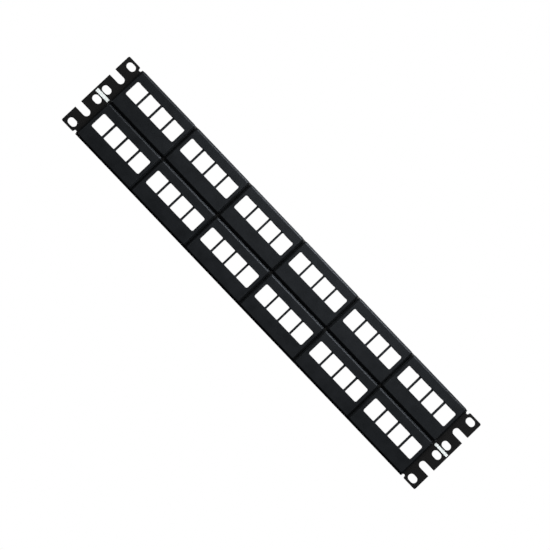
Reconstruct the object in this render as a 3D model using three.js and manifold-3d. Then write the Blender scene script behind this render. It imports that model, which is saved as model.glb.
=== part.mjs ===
// A 19-inch rack patch panel, two rack units high, with empty ports.
//
// A black sheet-steel frame has slotted ears at both ends and a flange bent back along its top
// and bottom edges. Twelve moulded faceplates, in two rows of six, snap into its windows from
// the front. Each faceplate has four openings for modular jacks.
//
// Millimetres. X runs along the panel, +Z is up, and the front looks towards -Y. The origin is
// the middle of the rack-mounting plane, the rear face of the sheet, which meets the rack rails.

import * as THREE from 'three';
import { mergeVertices } from 'three/addons/utils/BufferGeometryUtils.js';
import Module from 'manifold-3d';

const wasm = await Module();
wasm.setup();

// ---- Rack standard ----
const panelLength = 482.6; // 19 inches over the ears
const panelHeight = 88.1; // two rack units of 44.45, less the clearance to the next panel
const slotColumn = 232.56; // from the middle to a column of rack holes, half of 465.12
const closedSlotRows = [-38.1, -6.35, 6.35, 38.1]; // heights of the closed slots
const openSlotRows = [-22.225, 22.225]; // heights of the slots that are open at the ear's end
const bodyLength = 444.5; // the width between rack rails that the faceplates fill

// ---- Frame: one folded sheet ----
const sheet = 1.5;
const bendRadius = 2.5; // outside radius of the folds
const flangeBack = 21.9; // rear edge of both flanges
const earCornerRadius = 1.5;
const closedSlotLength = 10.15;
const closedSlotHeight = 7.05;
const openSlotHeight = 7.5;
const openSlotEnd = 226.4; // from the middle to the round inner end of an open slot
const reliefInner = 222.8; // bend relief: a notch between ear and flange
const reliefOuter = 225.9;
const reliefDepth = 3.0;
const reliefFlare = 1.4; // how far the ear's corner rounds away from the relief
const frameWindowWidth = 69.4;
const frameWindowHeight = 28.5;
const frameWindowRadius = 1.5;

// ---- Faceplates ----
const columns = 6;
const columnPitch = bodyLength / columns;
const rowPitch = 44.1;
const plateWidth = columnPitch - 0.48;
const plateHeight = rowPitch - 0.34;
const plateCornerRadius = 1.0;
const plateFront = -6.0; // the front faces stand proud of the ears
const plateRim = -sheet - 0.3; // the skirt's rear edge, a hair off the sheet
const plateChamfer = 2.0;
const skirt = 1.8; // thickness of the walls round the edge
const faceThickness = 2.0;

// ---- The port openings in a faceplate ----
const portsPerPlate = 4;
const portPitch = 16.51;
const portWidth = 14.65;
const portHeight = 17.0;
const portCornerRadius = 0.8;
const portRise = 2.85; // the ports sit above the middle of the plate
const portWindowRadius = 1.6;
const portWindowWidth = (portsPerPlate - 1) * portPitch + portWidth;
const ribFront = -5.0; // the ribs between ports are set back from the face
const ribBack = -2.8;

// ---- The two rails behind the ports, which hold the jack modules between them ----
const railLength = 68.4;
const railInner = 9.2; // from the middle of the ports to the rail's inner face
const railThickness = 1.5;
const railBack = 8.0;
const railLeadIn = 0.8; // the bevel on the rear edge, where a module goes in

// ---- The snap hooks, two above and two below the rails ----
const hookWidth = 8.0;
const hookSpacing = 40.0;
const hookInner = 12.0; // from the middle of the ports to the hook's inner face
const hookThickness = 1.3;
const hookBarb = 0.7;
const hookCatch = 0.35; // the catch face, just behind the sheet
const hookNose = 3.2;
const hookTip = 3.8;

// ---- Plain index labels on the ears, between the two middle slots ----
const labelThickness = 0.2;
const labelStandOff = 0.3;
const labels = [
  { name: 'left_ear_label', centre: -231.4, width: 16.0, height: 3.4 },
  { name: 'right_ear_label', centre: 231.9, width: 16.4, height: 2.7 },
];

const overrun = 1.0; // how far a cutting tool runs past what it cuts
const slotSegments = 3; // steps to an eighth of a turn at the round ends of the rack slots

const powderCoat = new THREE.MeshStandardMaterial({
  color: 0x16161a,
  roughness: 0.55,
  metalness: 0.0,
  flatShading: true,
});
const mouldedPlastic = new THREE.MeshStandardMaterial({
  color: 0x1c1e20,
  roughness: 0.45,
  metalness: 0.0,
  flatShading: true,
});
const whiteVinyl = new THREE.MeshStandardMaterial({
  color: 0xebf8f6,
  roughness: 0.5,
  metalness: 0.0,
  flatShading: true,
});

// A closed geometry as a manifold-3d solid.
function solidOf(geometry) {
  geometry.deleteAttribute('normal');
  geometry.deleteAttribute('uv');
  const merged = mergeVertices(geometry, 1e-4);
  return new wasm.Manifold(
    new wasm.Mesh({
      numProp: 3,
      vertProperties: new Float32Array(merged.attributes.position.array),
      triVerts: new Uint32Array(merged.index.array),
    }),
  );
}

// A manifold-3d solid as a named mesh.
function meshOf(solid, name, material) {
  const result = solid.getMesh();
  const geometry = new THREE.BufferGeometry();
  geometry.setAttribute('position', new THREE.BufferAttribute(result.vertProperties, 3));
  geometry.setIndex(new THREE.BufferAttribute(result.triVerts, 1));
  geometry.computeVertexNormals();
  const mesh = new THREE.Mesh(geometry, material);
  mesh.name = name;
  return mesh;
}

// An outline in X and Z, extruded along Y from its front to its back.
function prism(shape, front, back, curveSegments = 1) {
  const geometry = new THREE.ExtrudeGeometry(shape, {
    depth: back - front,
    bevelEnabled: false,
    curveSegments,
  });
  geometry.translate(0, 0, -back);
  geometry.rotateX(Math.PI / 2);
  return solidOf(geometry);
}

// An outline in Y and Z, extruded along X about a middle.
function barAlongX(shape, length, middle, curveSegments = 3) {
  const geometry = new THREE.ExtrudeGeometry(shape, {
    depth: length,
    bevelEnabled: false,
    curveSegments,
  });
  geometry.translate(0, 0, middle - length / 2);
  geometry.applyMatrix4(
    new THREE.Matrix4().makeBasis(
      new THREE.Vector3(0, 1, 0),
      new THREE.Vector3(0, 0, 1),
      new THREE.Vector3(1, 0, 0),
    ),
  );
  return solidOf(geometry);
}

function roundedRectangle(width, height, radius, centreX = 0, centreZ = 0) {
  const right = centreX + width / 2 - radius;
  const left = centreX - width / 2 + radius;
  const top = centreZ + height / 2 - radius;
  const bottom = centreZ - height / 2 + radius;
  const shape = new THREE.Shape();
  shape.absarc(right, top, radius, 0, Math.PI / 2);
  shape.absarc(left, top, radius, Math.PI / 2, Math.PI);
  shape.absarc(left, bottom, radius, Math.PI, 1.5 * Math.PI);
  shape.absarc(right, bottom, radius, 1.5 * Math.PI, 2 * Math.PI);
  shape.closePath();
  return shape;
}

function rectangle(left, right, bottom, top) {
  const shape = new THREE.Shape();
  shape.moveTo(left, bottom);
  shape.lineTo(right, bottom);
  shape.lineTo(right, top);
  shape.lineTo(left, top);
  shape.closePath();
  return shape;
}

// Every cutter runs through the sheet and past both of its faces.
function sheetCutter(shape, curveSegments) {
  return prism(shape, -sheet - overrun, overrun, curveSegments);
}

function closedSlot(side, height) {
  const shape = roundedRectangle(
    closedSlotLength,
    closedSlotHeight,
    closedSlotHeight / 2,
    side * slotColumn,
    height,
  );
  return sheetCutter(shape, slotSegments);
}

function openSlot(side, height) {
  const outerEnd = panelLength / 2 + closedSlotLength;
  const length = outerEnd - openSlotEnd;
  const centre = side * (openSlotEnd + length / 2);
  const shape = roundedRectangle(length, openSlotHeight, openSlotHeight / 2, centre, height);
  return sheetCutter(shape, slotSegments);
}

// The relief is straight beside the flange and rounds away into the top edge of the ear.
function bendRelief(side, upward) {
  const edge = panelHeight / 2;
  const floor = edge - reliefDepth;
  const middle = (reliefInner + reliefOuter) / 2;
  const radius = (reliefOuter - reliefInner) / 2;
  const shape = new THREE.Shape();
  shape.moveTo(reliefInner, edge + overrun);
  shape.lineTo(reliefInner, floor + radius);
  shape.absarc(middle, floor + radius, radius, Math.PI, 2 * Math.PI);
  shape.quadraticCurveTo(reliefOuter, edge, reliefOuter + reliefFlare, edge);
  shape.lineTo(reliefOuter + reliefFlare, edge + overrun);
  shape.closePath();
  const cutter = sheetCutter(shape, slotSegments);
  const mirrored = side > 0 ? cutter : cutter.mirror([1, 0, 0]);
  return upward > 0 ? mirrored : mirrored.mirror([0, 0, 1]);
}

// A flange's section: a little of the flat sheet, the fold and the flange itself.
function flange(upward) {
  const outer = panelHeight / 2;
  const inner = outer - sheet;
  const foldTop = outer - bendRadius;
  const foldBack = -sheet + bendRadius;
  const insideRadius = bendRadius - sheet;
  const shape = new THREE.Shape();
  shape.moveTo(-sheet, foldTop - overrun);
  shape.lineTo(-sheet, foldTop);
  shape.absarc(foldBack, foldTop, bendRadius, Math.PI, Math.PI / 2, true);
  shape.lineTo(flangeBack, outer);
  shape.lineTo(flangeBack, inner);
  shape.lineTo(foldBack, inner);
  shape.absarc(foldBack, foldTop, insideRadius, Math.PI / 2, Math.PI);
  shape.lineTo(0, foldTop - overrun);
  shape.closePath();
  const bar = barAlongX(shape, 2 * reliefInner, 0);
  return upward > 0 ? bar : bar.mirror([0, 0, 1]);
}

function columnCentre(column) {
  return (column - (columns - 1) / 2) * columnPitch;
}

function rowCentre(row) {
  return row === 'upper' ? rowPitch / 2 : -rowPitch / 2;
}

function makeFrame() {
  let solid = prism(roundedRectangle(panelLength, panelHeight, earCornerRadius), -sheet, 0);
  const foldLine = panelHeight / 2 - bendRadius;
  for (const upward of [1, -1]) {
    const strip = rectangle(-reliefInner, reliefInner, foldLine, foldLine + bendRadius + overrun);
    const cutter = sheetCutter(strip);
    solid = solid.subtract(upward > 0 ? cutter : cutter.mirror([0, 0, 1]));
    solid = solid.add(flange(upward));
  }
  for (const side of [-1, 1]) {
    for (const upward of [1, -1]) {
      solid = solid.subtract(bendRelief(side, upward));
    }
    for (const height of closedSlotRows) {
      solid = solid.subtract(closedSlot(side, height));
    }
    for (const height of openSlotRows) {
      solid = solid.subtract(openSlot(side, height));
    }
  }
  for (const row of ['upper', 'lower']) {
    for (let column = 0; column < columns; column += 1) {
      const shape = roundedRectangle(
        frameWindowWidth,
        frameWindowHeight,
        frameWindowRadius,
        columnCentre(column),
        rowCentre(row) + portRise,
      );
      solid = solid.subtract(sheetCutter(shape));
    }
  }
  return solid;
}

// The outside of a faceplate: a block with a chamfer all round its front.
function plateBlock() {
  const shape = roundedRectangle(
    plateWidth - 2 * plateChamfer,
    plateHeight - 2 * plateChamfer,
    plateCornerRadius,
  );
  const geometry = new THREE.ExtrudeGeometry(shape, {
    depth: plateRim - plateFront,
    bevelThickness: plateChamfer,
    bevelSize: plateChamfer,
    bevelSegments: 1,
    curveSegments: 1,
  });
  geometry.translate(0, 0, -plateRim - plateChamfer);
  geometry.rotateX(Math.PI / 2);
  const behindRim = rectangle(-plateWidth, plateWidth, -plateHeight, plateHeight);
  return solidOf(geometry).subtract(prism(behindRim, plateRim, plateRim + 2 * plateChamfer + overrun));
}

function portShape(index) {
  const centre = (index - (portsPerPlate - 1) / 2) * portPitch;
  return roundedRectangle(portWidth, portHeight, portCornerRadius, centre, portRise);
}

function portWindowShape() {
  return roundedRectangle(portWindowWidth, portHeight, portWindowRadius, 0, portRise);
}

// A part made above the ports, turned over if it belongs below them and lifted to their height.
function besidePorts(part, upward) {
  const turned = upward > 0 ? part : part.mirror([0, 0, 1]);
  return turned.translate([0, 0, portRise]);
}

function rail(upward) {
  const outer = railInner + railThickness;
  const shape = new THREE.Shape();
  shape.moveTo(plateFront + faceThickness / 2, railInner);
  shape.lineTo(railBack - railLeadIn, railInner);
  shape.lineTo(railBack, railInner + railLeadIn);
  shape.lineTo(railBack, outer);
  shape.lineTo(plateFront + faceThickness / 2, outer);
  shape.closePath();
  return besidePorts(barAlongX(shape, railLength, 0), upward);
}

// The bar between two ports, which ends inside both rails.
function rib(index) {
  const middle = (index - (portsPerPlate - 2) / 2) * portPitch;
  const half = (portPitch - portWidth) / 2;
  const reach = railInner + railThickness / 2;
  const shape = rectangle(middle - half, middle + half, portRise - reach, portRise + reach);
  return prism(shape, ribFront, ribBack);
}

// A hook's section, for a hook above the ports: a shank with a barb behind the sheet.
function hook(side, upward) {
  const outer = hookInner + hookThickness;
  const shape = new THREE.Shape();
  shape.moveTo(plateFront + faceThickness / 2, hookInner);
  shape.lineTo(hookTip, hookInner);
  shape.lineTo(hookTip, outer - hookBarb);
  shape.lineTo(hookNose - 2 * hookBarb, outer + hookBarb);
  shape.lineTo(hookCatch, outer + hookBarb);
  shape.lineTo(hookCatch, outer);
  shape.lineTo(plateFront + faceThickness / 2, outer);
  shape.closePath();
  return besidePorts(barAlongX(shape, hookWidth, (side * hookSpacing) / 2), upward);
}

function makeFaceplate() {
  const pocket = roundedRectangle(
    plateWidth - 2 * skirt,
    plateHeight - 2 * skirt,
    plateCornerRadius,
  );
  const faceBack = plateFront + faceThickness;
  let solid = plateBlock().subtract(prism(pocket, faceBack, plateRim + overrun));
  for (const upward of [-1, 1]) {
    solid = solid.add(rail(upward));
    for (const side of [-1, 1]) {
      solid = solid.add(hook(side, upward));
    }
  }
  for (let index = 0; index < portsPerPlate - 1; index += 1) {
    solid = solid.add(rib(index));
  }
  solid = solid.subtract(prism(portWindowShape(), plateFront - overrun, ribFront));
  const opening = prism(portWindowShape(), plateFront, ribBack + overrun);
  for (let index = 0; index < portsPerPlate; index += 1) {
    const port = prism(portShape(index), ribFront - overrun / 2, ribBack + overrun / 2);
    solid = solid.subtract(port.intersect(opening));
  }
  return solid;
}

function makeLabel(label) {
  const back = -sheet - labelStandOff;
  const shape = roundedRectangle(label.width, label.height, label.height / 8, label.centre, 0);
  return prism(shape, back - labelThickness, back, 2);
}

const group = new THREE.Group();
group.add(meshOf(makeFrame(), 'frame', powderCoat));

const faceplate = makeFaceplate();
for (const row of ['upper', 'lower']) {
  for (let column = 0; column < columns; column += 1) {
    const mesh = meshOf(faceplate, `faceplate_${row}_${column + 1}`, mouldedPlastic);
    mesh.position.set(columnCentre(column), 0, rowCentre(row));
    group.add(mesh);
  }
}

for (const label of labels) {
  group.add(meshOf(makeLabel(label), label.name, whiteVinyl));
}

export default group;
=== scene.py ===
import math

import bmesh
import bpy
from mathutils import Matrix, Vector


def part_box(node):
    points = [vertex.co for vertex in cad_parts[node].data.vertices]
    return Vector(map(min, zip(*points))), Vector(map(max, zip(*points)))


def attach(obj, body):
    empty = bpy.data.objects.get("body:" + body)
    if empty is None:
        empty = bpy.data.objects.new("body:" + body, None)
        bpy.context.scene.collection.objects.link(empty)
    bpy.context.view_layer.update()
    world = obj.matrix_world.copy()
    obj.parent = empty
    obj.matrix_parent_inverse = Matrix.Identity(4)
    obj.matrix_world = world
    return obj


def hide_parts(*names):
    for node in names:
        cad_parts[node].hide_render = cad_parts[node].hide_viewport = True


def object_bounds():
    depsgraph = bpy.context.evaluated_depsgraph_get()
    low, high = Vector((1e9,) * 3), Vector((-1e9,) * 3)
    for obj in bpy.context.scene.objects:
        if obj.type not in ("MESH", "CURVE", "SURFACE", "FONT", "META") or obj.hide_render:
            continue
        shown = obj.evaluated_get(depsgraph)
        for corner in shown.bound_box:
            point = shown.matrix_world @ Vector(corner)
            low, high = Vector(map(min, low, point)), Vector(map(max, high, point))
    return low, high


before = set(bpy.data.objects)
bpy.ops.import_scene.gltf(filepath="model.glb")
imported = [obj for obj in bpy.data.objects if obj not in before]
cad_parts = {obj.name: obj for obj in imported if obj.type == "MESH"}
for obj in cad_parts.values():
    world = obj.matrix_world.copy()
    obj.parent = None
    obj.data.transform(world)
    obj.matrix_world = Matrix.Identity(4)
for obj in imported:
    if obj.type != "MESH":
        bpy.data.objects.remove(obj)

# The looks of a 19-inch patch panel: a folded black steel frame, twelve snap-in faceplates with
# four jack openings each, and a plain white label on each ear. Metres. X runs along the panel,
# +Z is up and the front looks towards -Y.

cad_low, cad_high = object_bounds()

MM = 0.001

# ---- Frame: one folded sheet of steel ----
SHEET = 1.5 * MM
FOLD_RADIUS = 2.5 * MM  # outside radius of the folds
FOLD_STEPS = 10
FOLD_FADE = 1.0 * MM  # past its end, the fold dies away in the bottom of the relief
SHEET_EDGE = 0.18 * MM  # how far the sheet's cut edges are rounded
EAR_CORNER = 1.5 * MM
SLOT_COLUMN = 232.56 * MM
CLOSED_SLOT_ROWS = [-38.1 * MM, -6.35 * MM, 6.35 * MM, 38.1 * MM]
# Slots and ports are 0.2 to 0.35 mm smaller than the solids', because at the picture's size a
# render shows white openings slightly too wide.
CLOSED_SLOT_LENGTH = 9.95 * MM
CLOSED_SLOT_HEIGHT = 6.85 * MM
OPEN_SLOT_ROW = 22.225 * MM
OPEN_SLOT_HEIGHT = 7.3 * MM
OPEN_SLOT_END = 226.4 * MM
RELIEF_INNER = 222.8 * MM  # bend relief: the notch between ear and flange
RELIEF_OUTER = 225.9 * MM
RELIEF_DEPTH = 3.0 * MM
RELIEF_FLARE = 1.4 * MM
FLARE_STEPS = 6
WINDOW_WIDTH = 69.4 * MM
WINDOW_HEIGHT = 28.5 * MM
WINDOW_CORNER = 1.5 * MM

# ---- Faceplates ----
ROWS = ("upper", "lower")
COLUMNS = 6
PLATE_CORNER = 3.0 * MM
CHAMFER = 2.0 * MM
SKIRT = 1.8 * MM
FACE_THICKNESS = 2.0 * MM
RIM_GAP = 0.3 * MM  # between the skirt's rear rim and the sheet
PORTS = 4
PORT_PITCH = 16.51 * MM
PORT_WIDTH = 14.3 * MM  # smaller than the solids', like the slots
PORT_HEIGHT = 16.7 * MM
PORT_CORNER = 0.8 * MM
PORT_RISE = 2.85 * MM  # the ports sit above the middle of the plate
OPENING_WIDTH = (PORTS - 1) * PORT_PITCH + PORT_WIDTH
OPENING_CORNER = 1.6 * MM
RIB_FRONT = -5.0 * MM
RIB_BACK = -2.8 * MM
RIB_EDGE = 0.2 * MM
RAIL_LENGTH = 68.4 * MM  # the rails above and below the ports hold the jack modules
RAIL_INNER = 9.2 * MM  # from the middle of the ports to the rail's inner face
RAIL_THICKNESS = 1.5 * MM
RAIL_LEAD_IN = 0.8 * MM  # the bevel on the rear edge, where a module goes in
RAIL_EDGE = 0.2 * MM
HOOK_WIDTH = 8.0 * MM
HOOK_SPACING = 40.0 * MM
HOOK_INNER = 12.0 * MM
HOOK_THICKNESS = 1.3 * MM
HOOK_BARB = 0.7 * MM
HOOK_CATCH = 0.35 * MM
HOOK_CREST = 1.8 * MM  # where the barb starts to slope down to its tip
HOOK_TIP = 3.8 * MM
HOOK_EDGE = 0.12 * MM
LEDGE_LENGTH = 10.0 * MM  # the small ledges on the rails that catch a jack module
LEDGE_HEIGHT = 0.5 * MM
LEDGE_FRONT = 3.0 * MM
LEDGE_FLAT = 0.6 * MM
LEDGE_DEPTH = 0.9 * MM
LEDGE_EDGE = 0.06 * MM
STIFFENER_THICKNESS = 1.2 * MM
STIFFENER_SPACING = 30.0 * MM
STIFFENER_DEPTH = 1.6 * MM
STIFFENER_EDGE = 0.15 * MM
EMBED = 0.4 * MM  # how far a rib, ledge or stiffener runs into the wall that carries it

# ---- Labels ----
LABEL_GAP = 0.03 * MM
LABEL_EDGE = 0.04 * MM

# ---- Colours: each surface drifts slowly between the two of its pair ----
POWDER = ((0.0038, 0.0037, 0.0038), (0.0050, 0.0049, 0.0050))
# The lighter colour of the powder coat's rounded edges: partly edge wear, partly a painted highlight.
POWDER_WEAR_AND_HIGHLIGHT = (0.010, 0.010, 0.0105)
PLASTIC = ((0.0030, 0.0035, 0.0038), (0.0038, 0.0043, 0.0047))
# The lighter colour of the plastic's rounded edges: a painted highlight.
PLASTIC_PAINTED_HIGHLIGHT = (0.007, 0.0075, 0.008)
PLASTIC_SHEEN = (0.80, 0.88, 1.0)
VINYL = ((0.78, 0.84, 0.83), (0.86, 0.90, 0.89))
SHARP_ANGLE = math.radians(50)  # edges that turn further than this stay sharp

# ---- The view ----
CAMERA_DISTANCE = 1.0
CAMERA_AZIMUTH = 0.31
CAMERA_ELEVATION = -2.54
CAMERA_ROLL = 46.34
CAMERA_AIM = (4.22 * MM, 0.0, 0.64 * MM)
CAMERA_LENS = 69.17

# ---- Floor and light ----
FLOOR_HEIGHT = -0.9
FLOOR_RADIUS = 0.85
FLOOR_FADE = 0.35  # the share of its radius where the floor starts to fade out
GLOW = 0.2  # the sky's strength where it is brightest
GLOW_START = -0.4  # the heights on the sky, from -1 to 1, where the glow starts and is full
GLOW_FULL = 0.9
LIGHT_TARGET = (0.0, 0.0, 0.0)
SOFTBOXES = [  # name, place, width, height and power in watts
    ("above_front", (0, -0.25, 0.54), 0.3, 0.2, 3.4),
    ("above_left", (-0.26, -0.31, 0.69), 0.3, 0.25, 1.6),
    ("above_right", (0.26, -0.31, 0.69), 0.3, 0.25, 2.7),
    ("front_left", (-0.15, -0.69, 0.38), 0.2, 0.2, 1.32),
    ("front_right", (0.15, -0.69, 0.38), 0.2, 0.2, 0.92),
    ("far_right", (0.48, -1.18, 0.59), 0.4, 0.3, 1.6),
    ("low_left", (-0.87, -0.78, -0.29), 0.5, 0.5, 1.7),
    ("low_right", (0.87, -0.78, -0.29), 0.5, 0.5, 1.45),
    ("behind_left", (-0.8, 0.9, 0.1), 0.6, 0.6, 8.0),
    ("behind_right", (0.8, 0.9, 0.1), 0.6, 0.6, 8.0),
    ("above_behind", (0, 0.7, 0.8), 0.6, 0.4, 8.0),
]


# ------------------------------------------------------------------ outlines

def arc(centre, radius, start, end, steps):
    """Points on an arc from angle start to angle end, in degrees, both ends included."""
    points = []
    for step in range(steps + 1):
        angle = math.radians(start + (end - start) * step / steps)
        points.append((centre[0] + radius * math.cos(angle), centre[1] + radius * math.sin(angle)))
    return points


def rounded_rectangle(width, height, radius, centre=(0.0, 0.0), steps=8):
    """An anticlockwise outline that starts at the right end of its top right corner."""
    right = centre[0] + width / 2 - radius
    left = centre[0] - width / 2 + radius
    top = centre[1] + height / 2 - radius
    bottom = centre[1] - height / 2 + radius
    points = arc((right, top), radius, 0, 90, steps)
    points += arc((left, top), radius, 90, 180, steps)
    points += arc((left, bottom), radius, 180, 270, steps)
    points += arc((right, bottom), radius, 270, 360, steps)
    return points


def without_doubles(points):
    """The closed outline with no point on top of the one before it."""
    kept = []
    for index, point in enumerate(points):
        if math.dist(point, points[index - 1]) > 1e-7:
            kept.append(point)
    return kept


def signed_area(points):
    following = points[1:] + points[:1]
    return sum(a[0] * b[1] - b[0] * a[1] for a, b in zip(points, following)) / 2


def moved_inwards(points, distance):
    """The outline moved to the left of its direction of travel, with mitred corners."""
    moved = []
    for index, point in enumerate(points):
        here = Vector(point)
        first = (here - Vector(points[index - 1])).normalized()
        second = (Vector(points[(index + 1) % len(points)]) - here).normalized()
        first_normal = Vector((-first.y, first.x))
        normal = (first_normal + Vector((-second.y, second.x))).normalized()
        moved.append(tuple(here + normal * distance / max(normal.dot(first_normal), 0.3)))
    return moved


# ------------------------------------------------------------------ solids

def new_bmesh():
    """A bmesh with the layer "edge", which is 1 on the rounded edges and 0 elsewhere: the mask for
    edge wear and a painted edge highlight.
    """
    mesh = bmesh.new()
    mesh.verts.layers.float.new("edge")
    return mesh


def add_ring(mesh, points, wear_and_highlight):
    layer = mesh.verts.layers.float["edge"]
    ring = [mesh.verts.new(point) for point in points]
    for vert in ring:
        vert[layer] = wear_and_highlight
    return ring


def bridge(mesh, first, second):
    for index in range(len(first)):
        after = (index + 1) % len(first)
        mesh.faces.new((first[index], first[after], second[after], second[index]))


def close_flat(mesh, rings):
    """Fills the flat face between an outer ring and the rings of its holes."""
    verts = {vert for ring in rings for vert in ring}
    edges = [edge for edge in mesh.edges if edge.is_boundary and verts.issuperset(edge.verts)]
    bmesh.ops.triangle_fill(mesh, use_beauty=True, edges=edges, normal=(0, 0, 1))


def rounded_slab(outer, holes, low, high, radius, steps=3):
    """A closed plate from low to high along its own Z, with rounded edges on every outline."""
    mesh = new_bmesh()
    sections = []
    for step in range(steps + 1):
        angle = math.pi / 2 * step / steps
        sections.append((radius * (1 - math.sin(angle)), radius * (1 - math.cos(angle))))
    levels = [(inset, low + depth) for inset, depth in sections]
    levels += [(inset, high - depth) for inset, depth in reversed(sections)]
    bottom_rings = []
    top_rings = []
    for number, outline in enumerate([outer] + holes):
        outline = without_doubles(outline)
        if (signed_area(outline) > 0) != (number == 0):
            outline.reverse()
        rings = []
        for inset, level in levels:
            points = [(x, y, level) for x, y in moved_inwards(outline, inset)]
            rings.append(add_ring(mesh, points, 0.0 if inset == radius else 1.0))
        for lower, upper in zip(rings, rings[1:]):
            bridge(mesh, lower, upper)
        bottom_rings.append(rings[0])
        top_rings.append(rings[-1])
    close_flat(mesh, bottom_rings)
    close_flat(mesh, top_rings)
    bmesh.ops.recalc_face_normals(mesh, faces=mesh.faces)
    return mesh


FACING_FRONT = Matrix(((1, 0, 0, 0), (0, 0, 1, 0), (0, 1, 0, 0), (0, 0, 0, 1)))
ALONG_X = Matrix(((0, 0, 1, 0), (1, 0, 0, 0), (0, 1, 0, 0), (0, 0, 0, 1)))


def placed(mesh, matrix):
    """The bmesh moved by a matrix, with its faces pointing out."""
    bmesh.ops.transform(mesh, matrix=matrix, verts=mesh.verts)
    bmesh.ops.recalc_face_normals(mesh, faces=mesh.faces)
    return mesh


def mesh_data(mesh, name):
    data = bpy.data.meshes.new(name)
    mesh.to_mesh(data)
    mesh.free()
    return data


def object_from(data, name):
    made = bpy.data.objects.new(name, data)
    bpy.context.scene.collection.objects.link(made)
    return made


def joined_solids(body, additions):
    """One mesh of a bmesh solid and the smaller solids that grow out of it."""
    extra = new_bmesh()
    for addition in additions:
        data = mesh_data(addition, "addition")
        extra.from_mesh(data)
        bpy.data.meshes.remove(data)
    target = object_from(mesh_data(body, "body"), "body")
    tool = object_from(mesh_data(extra, "additions"), "additions")
    join = target.modifiers.new("join", "BOOLEAN")
    join.operation = "UNION"
    join.solver = "EXACT"
    join.use_self = True
    join.object = tool
    graph = bpy.context.evaluated_depsgraph_get()
    data = bpy.data.meshes.new_from_object(target.evaluated_get(graph))
    bpy.data.objects.remove(target)
    bpy.data.objects.remove(tool)
    return data


def finish_piece(piece, material, body, node):
    """Smooth shading with sharp inside corners, the material, and what the piece stands for."""
    data = piece.data
    data.polygons.foreach_set("use_smooth", [True] * len(data.polygons))
    data.set_sharp_from_angle(angle=SHARP_ANGLE)
    weighted = piece.modifiers.new("weighted_normals", "WEIGHTED_NORMAL")
    weighted.keep_sharp = True
    data.materials.clear()
    data.materials.append(material)
    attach(piece, body)
    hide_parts(node)


# ------------------------------------------------------------------ materials

class Nodes:
    """A short way to build a node material from noise in the object's own space."""

    def __init__(self, name):
        self.material = bpy.data.materials.new(name)
        self.material.use_nodes = True
        self.tree = self.material.node_tree
        self.shader = self.tree.nodes["Principled BSDF"]
        self.place = self.add("ShaderNodeTexCoord").outputs["Object"]

    def add(self, kind, **settings):
        node = self.tree.nodes.new(kind)
        for setting, value in settings.items():
            setattr(node, setting, value)
        return node

    def link(self, source, target):
        self.tree.links.new(source, target)

    def noise(self, size, detail=3.0, roughness=0.5):
        """Noise whose lumps measure about size metres."""
        node = self.add("ShaderNodeTexNoise")
        node.inputs["Scale"].default_value = 1.0 / size
        node.inputs["Detail"].default_value = detail
        node.inputs["Roughness"].default_value = roughness
        self.link(self.place, node.inputs["Vector"])
        return node.outputs["Fac"]

    def span(self, value, low, high, new_low, new_high):
        """Maps value from low..high to new_low..new_high, and holds it there."""
        node = self.add("ShaderNodeMapRange")
        node.inputs["From Min"].default_value = low
        node.inputs["From Max"].default_value = high
        node.inputs["To Min"].default_value = new_low
        node.inputs["To Max"].default_value = new_high
        self.link(value, node.inputs["Value"])
        return node.outputs["Result"]

    def combined(self, operation, first, second):
        node = self.add("ShaderNodeMath", operation=operation)
        self.link(first, node.inputs[0])
        self.link(second, node.inputs[1])
        return node.outputs["Value"]

    def mixed_colour(self, share, first, second):
        """first where share is 0 and second where it is 1; each is a colour or another output."""
        node = self.add("ShaderNodeMix", data_type="RGBA")
        self.link(share, node.inputs["Factor"])
        sockets = [socket for socket in node.inputs if socket.type == "RGBA"]
        for socket, value in zip(sockets, (first, second)):
            if isinstance(value, tuple):
                socket.default_value = (*value, 1.0)
            else:
                self.link(value, socket)
        return next(output for output in node.outputs if output.type == "RGBA")

    def worn_and_highlit_edges(self, patch_size, low, high):
        """The mesh's rounded edges, in patches: the mask for edge wear and a painted edge highlight.
        """
        edges = self.add("ShaderNodeAttribute", attribute_name="edge").outputs["Fac"]
        patches = self.span(self.noise(patch_size), 0.35, 0.7, low, high)
        return self.combined("MULTIPLY", edges, patches)

    def bump(self, height, depth, strength):
        """Raises the surface by height times depth metres."""
        node = self.add("ShaderNodeBump")
        node.inputs["Strength"].default_value = strength
        node.inputs["Distance"].default_value = depth
        self.link(height, node.inputs["Height"])
        self.link(node.outputs["Normal"], self.shader.inputs["Normal"])


def make_powder_coat():
    """Satin black powder coat on steel: orange peel, fine grain, and rounded edges painted lighter,
    partly slight wear and partly a painted highlight.
    """
    nodes = Nodes("powder_coat")
    peel = nodes.noise(1.1 * MM, detail=2.0)
    grain = nodes.noise(0.22 * MM, detail=2.0)
    drift = nodes.span(nodes.noise(45 * MM), 0.3, 0.7, 0.0, 1.0)
    base = nodes.mixed_colour(drift, *POWDER)
    # The rounded edges are painted lighter in patches: partly edge wear, partly a painted highlight.
    worn_and_highlit = nodes.mixed_colour(nodes.worn_and_highlit_edges(2.5 * MM, 0.0, 1.0), base, POWDER_WEAR_AND_HIGHLIGHT)
    nodes.link(worn_and_highlit, nodes.shader.inputs["Base Color"])
    nodes.link(nodes.span(peel, 0.3, 0.7, 0.42, 0.56), nodes.shader.inputs["Roughness"])
    nodes.shader.inputs["Specular IOR Level"].default_value = 0.15
    nodes.bump(nodes.combined("ADD", peel, grain), 0.05 * MM, 0.7)
    return nodes.material


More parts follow.
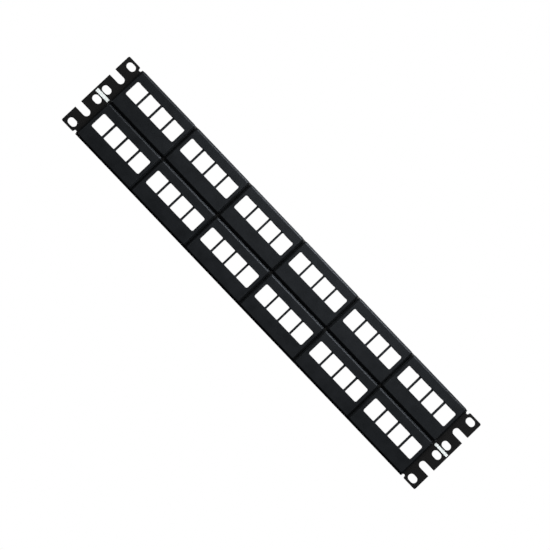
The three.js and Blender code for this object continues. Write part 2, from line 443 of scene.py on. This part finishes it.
def make_black_plastic():
    """Black moulded plastic with a fine spark-eroded grain and a faint painted highlight on its
    edges.
    """
    nodes = Nodes("black_plastic")
    grain = nodes.noise(0.16 * MM, detail=3.0, roughness=0.6)
    flow = nodes.noise(9 * MM, detail=2.0)
    drift = nodes.span(nodes.noise(60 * MM, detail=2.0), 0.3, 0.7, 0.0, 1.0)
    base = nodes.mixed_colour(drift, *PLASTIC)
    # The rounded edges are painted lighter in patches: a painted highlight.
    painted_edge_highlight = nodes.mixed_colour(nodes.worn_and_highlit_edges(4 * MM, 0.1, 0.8), base, PLASTIC_PAINTED_HIGHLIGHT)
    nodes.link(painted_edge_highlight, nodes.shader.inputs["Base Color"])
    mottle = nodes.combined("ADD", grain, flow)
    nodes.link(nodes.span(mottle, 0.7, 1.3, 0.36, 0.50), nodes.shader.inputs["Roughness"])
    nodes.shader.inputs["Specular IOR Level"].default_value = 0.28
    nodes.shader.inputs["Specular Tint"].default_value = (*PLASTIC_SHEEN, 1.0)
    nodes.bump(grain, 0.03 * MM, 0.6)
    return nodes.material


def make_white_vinyl():
    """Plain matt white vinyl with a faint mottle."""
    nodes = Nodes("white_label")
    mottle = nodes.span(nodes.noise(1.5 * MM, detail=4.0), 0.3, 0.7, 0.0, 1.0)
    fine = nodes.noise(0.2 * MM, detail=2.0)
    base = nodes.mixed_colour(mottle, *VINYL)
    nodes.link(base, nodes.shader.inputs["Base Color"])
    nodes.link(nodes.span(fine, 0.3, 0.7, 0.45, 0.6), nodes.shader.inputs["Roughness"])
    nodes.bump(fine, 0.01 * MM, 0.5)
    return nodes.material


# ------------------------------------------------------------------ the frame

def flat_outline(flat_half):
    """The unfolded sheet's outline: the ears at its ends, the flanges flat above and below."""
    length = cad_high.x
    edge = cad_high.z
    slot = OPEN_SLOT_HEIGHT / 2
    relief_radius = (RELIEF_OUTER - RELIEF_INNER) / 2
    relief_middle = (RELIEF_OUTER + RELIEF_INNER) / 2
    relief_centre = edge - RELIEF_DEPTH + relief_radius
    quarter = [(length, OPEN_SLOT_ROW - slot)]
    quarter += arc((OPEN_SLOT_END + slot, OPEN_SLOT_ROW), slot, 270, 90, steps=20)
    quarter += [(length, OPEN_SLOT_ROW + slot)]
    quarter += arc((length - EAR_CORNER, edge - EAR_CORNER), EAR_CORNER, 0, 90, steps=6)
    for step in range(FLARE_STEPS + 1):
        share = 1 - step / FLARE_STEPS
        x = RELIEF_OUTER + RELIEF_FLARE * share ** 2
        quarter.append((x, edge - (edge - relief_centre) * (1 - share) ** 2))
    quarter += arc((relief_middle, relief_centre), relief_radius, 360, 180, steps=12)
    quarter += [(RELIEF_INNER, flat_half)]
    top = quarter + [(-x, z) for x, z in reversed(quarter)]
    return top + [(-x, -z) for x, z in top]


def make_frame_piece(material):
    """One sheet of steel, cut flat and then folded back along its top and bottom edges."""
    low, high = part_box("frame")
    fold_start = high.z - FOLD_RADIUS
    fold_centre = low.y + FOLD_RADIUS
    fold_length = (FOLD_RADIUS - SHEET / 2) * math.pi / 2
    flat_half = fold_start + fold_length + high.y - fold_centre
    holes = []
    for side in (-1, 1):
        for row in CLOSED_SLOT_ROWS:
            centre = (side * SLOT_COLUMN, row)
            radius = CLOSED_SLOT_HEIGHT / 2
            slot = rounded_rectangle(CLOSED_SLOT_LENGTH, CLOSED_SLOT_HEIGHT, radius, centre, steps=10)
            holes.append(slot)
    for node in plate_nodes():
        x, z = plate_centre(node)
        centre = (x, z + PORT_RISE)
        holes.append(rounded_rectangle(WINDOW_WIDTH, WINDOW_HEIGHT, WINDOW_CORNER, centre, steps=6))
    mesh = rounded_slab(flat_outline(flat_half), holes, -SHEET, 0.0, SHEET_EDGE)
    cuts = []
    for step in range(FOLD_STEPS + 1):
        cuts.append(((0, 1, 0), fold_start + fold_length * step / FOLD_STEPS))
    cuts += [((1, 0, 0), RELIEF_INNER), ((1, 0, 0), RELIEF_INNER + FOLD_FADE)]
    for normal, distance in cuts:
        for sign in (-1, 1):
            geometry = list(mesh.verts) + list(mesh.edges) + list(mesh.faces)
            point = Vector(normal) * distance * sign
            bmesh.ops.bisect_plane(mesh, geom=geometry, dist=1e-6, plane_co=point, plane_no=normal)
    placed(mesh, FACING_FRONT)
    for vert in mesh.verts:
        x, y, z = vert.co
        along = abs(z) - fold_start
        share = min(max((RELIEF_INNER + FOLD_FADE - abs(x)) / FOLD_FADE, 0.0), 1.0)
        if along <= 0 or share == 0:
            continue
        radius = fold_centre - y
        angle = min(along / fold_length, 1.0) * math.pi / 2
        past = max(along - fold_length, 0.0)
        folded_y = fold_centre - radius * math.cos(angle) + past
        folded_z = math.copysign(fold_start + radius * math.sin(angle), z)
        vert.co.y += (folded_y - y) * share
        vert.co.z += (folded_z - z) * share
    bmesh.ops.recalc_face_normals(mesh, faces=mesh.faces)
    piece = object_from(mesh_data(mesh, "steel_frame"), "steel_frame")
    finish_piece(piece, material, "panel", "frame")


# ------------------------------------------------------------------ the faceplates

def plate_nodes():
    return [f"faceplate_{row}_{column + 1}" for row in ROWS for column in range(COLUMNS)]


def plate_centre(node):
    low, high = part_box(node)
    return (low.x + high.x) / 2, (low.z + high.z) / 2


def softened(corners, steps=4):
    """The path through the corners, each (grow, depth, radius, wear_and_highlight), rounded off by
    its radius; the last marks the rounded edges for edge wear and a painted highlight.
    """
    path = []
    for index, (grow, depth, radius, wear_and_highlight) in enumerate(corners):
        here = Vector((grow, depth))
        if radius == 0:
            path.append((grow, depth, 0.0))
            continue
        before = (Vector(corners[index - 1][:2]) - here).normalized() * radius
        after = (Vector(corners[index + 1][:2]) - here).normalized() * radius
        for step in range(steps + 1):
            share = step / steps
            point = here + before * (1 - share) ** 2 + after * share ** 2
            path.append((point.x, point.y, wear_and_highlight if 0 < step < steps else 0.0))
    return path


def faceplate_shell(width, height, front):
    """The moulding without its ribs, rails and hooks, as rings lofted once round its wall."""
    face_back = front + FACE_THICKNESS
    rim = -SHEET - RIM_GAP
    middle = front + FACE_THICKNESS / 2
    sharp = 0.2 * MM
    soft = 0.3 * MM
    softest = 0.55 * MM
    opening = (OPENING_WIDTH, PORT_HEIGHT, OPENING_CORNER, PORT_RISE)
    outside = (width, height, PLATE_CORNER, 0.0)
    paths = [
        (opening, [(0, middle, 0, 0), (0, front, soft, 1), (2 * soft, front, 0, 0)]),
        (outside, [
            (-CHAMFER - softest, front, 0, 0),
            (-CHAMFER, front, 0.9 * softest, 1),
            (0, front + CHAMFER, 0.9 * softest, 1),
            (0, rim, sharp, 0),
            (-SKIRT, rim, sharp, 0),
            (-SKIRT, face_back, sharp, 0),
            (-SKIRT - 1.5 * sharp, face_back, 0, 0),
        ]),
        (opening, [(2 * sharp, face_back, 0, 0), (0, face_back, sharp, 0), (0, middle, 0, 0)]),
    ]
    mesh = new_bmesh()
    rings = []
    for (outline_width, outline_height, radius, rise), corners in paths:
        for grow, depth, wear_and_highlight in softened(corners):
            outline = rounded_rectangle(
                outline_width + 2 * grow, outline_height + 2 * grow, radius + grow, (0.0, rise)
            )
            points = [(x, depth, z) for x, z in outline]
            rings.append((points, wear_and_highlight))
    rings.pop()  # the last ring lies on the first
    made = [add_ring(mesh, points, wear_and_highlight) for points, wear_and_highlight in rings]
    for ring, following in zip(made, made[1:] + made[:1]):
        bridge(mesh, ring, following)
    bmesh.ops.recalc_face_normals(mesh, faces=mesh.faces)
    return mesh


def bar(outline, length, middle, radius):
    """An outline in Y and Z as a rounded bar along X."""
    start = middle - length / 2
    return placed(rounded_slab(outline, [], start, middle + length / 2, radius, steps=2), ALONG_X)


def port_rib(middle):
    """The bar between two ports, which widens in an arc towards the rails."""
    half = (PORT_PITCH - PORT_WIDTH) / 2
    top = PORT_HEIGHT / 2
    corner = PORT_CORNER
    quarter = arc((middle + half + corner, top - corner), corner, 180, 110, steps=6)
    quarter.append((quarter[-1][0], RAIL_INNER + EMBED))
    left = [(2 * middle - x, z) for x, z in reversed(quarter)]
    upper = quarter + left
    lower = [(2 * middle - x, -z) for x, z in upper]
    outline = [(x, z + PORT_RISE) for x, z in upper + lower]
    return placed(rounded_slab(outline, [], RIB_FRONT, RIB_BACK, RIB_EDGE), FACING_FRONT)


def rail(upward, front, back):
    """One of the two walls behind the ports that hold the jack modules between them."""
    root = front + FACE_THICKNESS / 2
    section = [
        (root, RAIL_INNER),
        (back - RAIL_LEAD_IN, RAIL_INNER),
        (back, RAIL_INNER + RAIL_LEAD_IN),
        (back, RAIL_INNER + RAIL_THICKNESS),
        (root, RAIL_INNER + RAIL_THICKNESS),
    ]
    outline = [(y, PORT_RISE + upward * z) for y, z in section]
    return bar(outline, RAIL_LENGTH, 0.0, RAIL_EDGE)


def hook(middle, upward, front):
    """A snap hook: a shank with a barb behind the sheet."""
    root = front + FACE_THICKNESS / 2
    outer = HOOK_INNER + HOOK_THICKNESS
    section = [
        (root, HOOK_INNER),
        (HOOK_TIP, HOOK_INNER),
        (HOOK_TIP, outer - HOOK_BARB),
        (HOOK_CREST, outer + HOOK_BARB),
        (HOOK_CATCH, outer + HOOK_BARB),
        (HOOK_CATCH, outer),
        (root, outer),
    ]
    outline = [(y, PORT_RISE + upward * z) for y, z in section]
    return bar(outline, HOOK_WIDTH, middle, HOOK_EDGE)


def module_ledge(middle, upward):
    """A ledge on a rail that a jack module snaps behind."""
    section = [
        (LEDGE_FRONT, RAIL_INNER + EMBED),
        (LEDGE_FRONT, RAIL_INNER - LEDGE_HEIGHT),
        (LEDGE_FRONT + LEDGE_FLAT, RAIL_INNER - LEDGE_HEIGHT),
        (LEDGE_FRONT + LEDGE_DEPTH, RAIL_INNER),
        (LEDGE_FRONT + LEDGE_DEPTH, RAIL_INNER + EMBED),
    ]
    outline = [(y, PORT_RISE + upward * z) for y, z in section]
    return bar(outline, LEDGE_LENGTH, middle, LEDGE_EDGE)


def stiffener(middle, height, front):
    """A web across the hollow back of the wide strip below the ports."""
    face_back = front + FACE_THICKNESS
    top = PORT_RISE - RAIL_INNER - RAIL_THICKNESS + EMBED
    bottom = SKIRT - height / 2 - EMBED
    section = [
        (face_back - EMBED, bottom),
        (face_back + STIFFENER_DEPTH, bottom),
        (face_back + STIFFENER_DEPTH, top),
        (face_back - EMBED, top),
    ]
    return bar(section, STIFFENER_THICKNESS, middle, STIFFENER_EDGE)


def faceplate_mesh():
    """One faceplate, centred on X and Z."""
    low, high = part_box(plate_nodes()[0])
    width = high.x - low.x
    height = high.z - low.z
    additions = []
    for index in range(PORTS):
        port = (index - (PORTS - 1) / 2) * PORT_PITCH
        for upward in (-1, 1):
            additions.append(module_ledge(port, upward))
        if index > 0:
            additions.append(port_rib(port - PORT_PITCH / 2))
    for upward in (-1, 1):
        additions.append(rail(upward, low.y, high.y))
        for side in (-1, 1):
            additions.append(hook(side * HOOK_SPACING / 2, upward, low.y))
    for side in (-1, 0, 1):
        additions.append(stiffener(side * STIFFENER_SPACING, height, low.y))
    return joined_solids(faceplate_shell(width, height, low.y), additions)


def make_faceplates(material):
    master = faceplate_mesh()
    for node in plate_nodes():
        x, z = plate_centre(node)
        data = master.copy()
        data.transform(Matrix.Translation((x, 0.0, z)))
        name = node.replace("faceplate", "moulded_faceplate")
        body = node.replace("faceplate_", "")
        finish_piece(object_from(data, name), material, body, node)
    bpy.data.meshes.remove(master)


# ------------------------------------------------------------------ the labels

def make_label(side, material):
    """A thin label on the front of an ear."""
    node = f"{side}_ear_label"
    low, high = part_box(node)
    width = high.x - low.x
    height = high.z - low.z
    centre = ((low.x + high.x) / 2, (low.z + high.z) / 2)
    back = -SHEET - LABEL_GAP
    outline = rounded_rectangle(width, height, height / 8, centre, steps=5)
    slab = rounded_slab(outline, [], back - (high.y - low.y), back, LABEL_EDGE, steps=2)
    data = mesh_data(placed(slab, FACING_FRONT), f"{side}_label")
    finish_piece(object_from(data, f"{side}_label"), material, "panel", node)


# ------------------------------------------------------------------ stage, light and camera

def make_floor():
    """A pale round floor whose edge fades out."""
    mesh = bmesh.new()
    bmesh.ops.create_circle(mesh, cap_ends=True, segments=96, radius=FLOOR_RADIUS)
    floor = object_from(mesh_data(mesh, "floor"), "floor")
    floor.location.z = FLOOR_HEIGHT
    nodes = Nodes("floor")
    nodes.shader.inputs["Base Color"].default_value = (0.9, 0.9, 0.9, 1.0)
    nodes.shader.inputs["Roughness"].default_value = 0.9
    distance = nodes.add("ShaderNodeVectorMath", operation="LENGTH")
    nodes.link(nodes.place, distance.inputs[0])
    fade_start = FLOOR_FADE * FLOOR_RADIUS
    faded = nodes.span(distance.outputs["Value"], fade_start, FLOOR_RADIUS, 1.0, 0.0)
    nodes.link(faded, nodes.shader.inputs["Alpha"])
    floor.data.materials.append(nodes.material)
    floor.visible_glossy = False
    floor.visible_diffuse = False


def make_world():
    """White behind the object, and a soft glow that is brighter above than below for its light."""
    world = bpy.data.worlds.new("studio")
    bpy.context.scene.world = world
    world.use_nodes = True
    tree = world.node_tree
    tree.nodes.clear()
    place = tree.nodes.new("ShaderNodeTexCoord")
    split = tree.nodes.new("ShaderNodeSeparateXYZ")
    tree.links.new(place.outputs["Generated"], split.inputs["Vector"])
    level = tree.nodes.new("ShaderNodeMapRange")
    level.inputs["From Min"].default_value = GLOW_START
    level.inputs["From Max"].default_value = GLOW_FULL
    level.inputs["To Min"].default_value = 0.0
    level.inputs["To Max"].default_value = GLOW
    tree.links.new(split.outputs["Z"], level.inputs["Value"])
    glow = tree.nodes.new("ShaderNodeBackground")
    tree.links.new(level.outputs["Result"], glow.inputs["Strength"])
    white = tree.nodes.new("ShaderNodeBackground")
    white.inputs["Color"].default_value = (1.0, 1.0, 1.0, 1.0)
    white.inputs["Strength"].default_value = 1.0
    ray = tree.nodes.new("ShaderNodeLightPath")
    choice = tree.nodes.new("ShaderNodeMixShader")
    tree.links.new(ray.outputs["Is Camera Ray"], choice.inputs["Fac"])
    tree.links.new(glow.outputs["Background"], choice.inputs[1])
    tree.links.new(white.outputs["Background"], choice.inputs[2])
    output = tree.nodes.new("ShaderNodeOutputWorld")
    tree.links.new(choice.outputs["Shader"], output.inputs["Surface"])


def make_softbox(name, place, width, height, power):
    light = bpy.data.lights.new(name, "AREA")
    light.shape = "RECTANGLE"
    light.size = width
    light.size_y = height
    light.energy = power
    made = bpy.data.objects.new(name, light)
    bpy.context.scene.collection.objects.link(made)
    made.location = place
    made.rotation_euler = (Vector(LIGHT_TARGET) - Vector(place)).to_track_quat("-Z", "Y").to_euler()
    made.visible_camera = False


def make_camera():
    azimuth = math.radians(CAMERA_AZIMUTH)
    elevation = math.radians(CAMERA_ELEVATION)
    roll = math.radians(CAMERA_ROLL)
    level = math.cos(elevation)
    back = Vector((math.sin(azimuth) * level, -math.cos(azimuth) * level, math.sin(elevation)))
    right = Vector((math.cos(azimuth), math.sin(azimuth), 0.0))
    up = back.cross(right)
    turned_right = right * math.cos(roll) + up * math.sin(roll)
    turned_up = up * math.cos(roll) - right * math.sin(roll)
    data = bpy.data.cameras.new("camera")
    data.lens = CAMERA_LENS
    camera = bpy.data.objects.new("camera", data)
    bpy.context.scene.collection.objects.link(camera)
    axes = Matrix((turned_right, turned_up, back)).transposed().to_4x4()
    camera.matrix_world = Matrix.Translation(Vector(CAMERA_AIM) + back * CAMERA_DISTANCE) @ axes
    bpy.context.scene.camera = camera


make_camera()
make_frame_piece(make_powder_coat())
make_faceplates(make_black_plastic())
vinyl = make_white_vinyl()
for side in ("left", "right"):
    make_label(side, vinyl)

make_world()
make_floor()
for softbox in SOFTBOXES:
    make_softbox(*softbox)
bpy.context.scene.view_settings.view_transform = "Standard"
